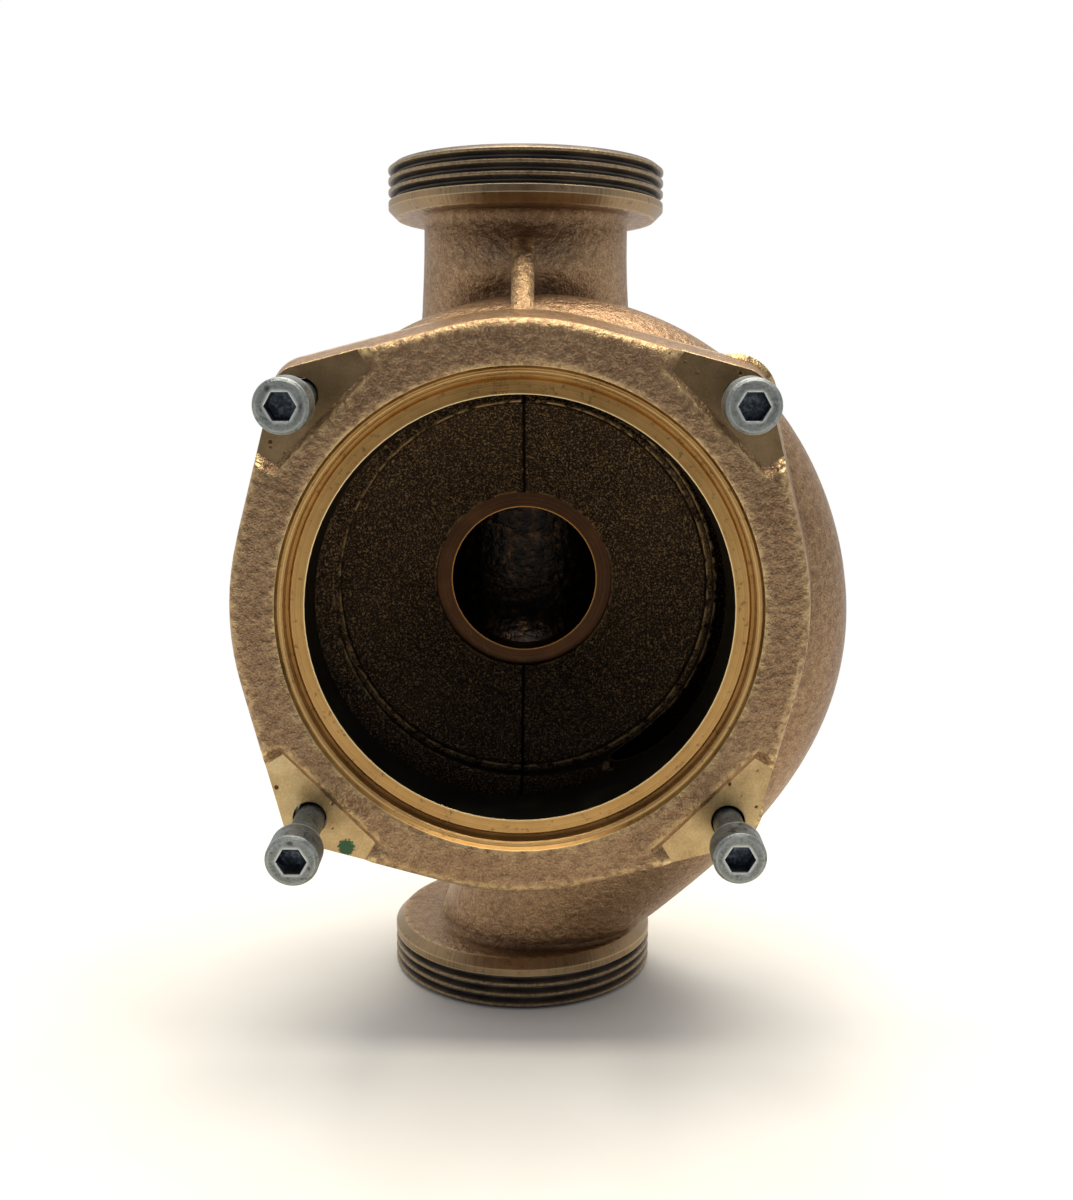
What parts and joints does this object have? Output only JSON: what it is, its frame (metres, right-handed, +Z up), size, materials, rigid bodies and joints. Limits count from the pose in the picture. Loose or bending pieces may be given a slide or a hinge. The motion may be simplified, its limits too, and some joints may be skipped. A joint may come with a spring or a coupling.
{
  "type": "volute pump casing",
  "caption": "Cast bronze in-line volute casing with a round lugged flange, threaded union ports above and below, and socket-head screws in the lugs.",
  "frame": {"origin": "centre of the lower port's end face, on which the casing stands", "axes": "+Z up along the axis that both ports share, +Y along the impeller shaft away from the open flange, +X toward the widest part of the volute"},
  "size_m": [0.1255, 0.1035, 0.18],
  "materials": {
    "cast_bronze": "sand-cast and blasted, with turned and spot-faced seats",
    "zinc_steel": "dull zinc plate, scuffed"
  },
  "bodies": {
    "root": {"pump_casing": "cast_bronze", "screw_upper_left": "zinc_steel", "screw_upper_right": "zinc_steel", "screw_lower_left": "zinc_steel", "screw_lower_right": "zinc_steel"}
  },
  "joints": []
}
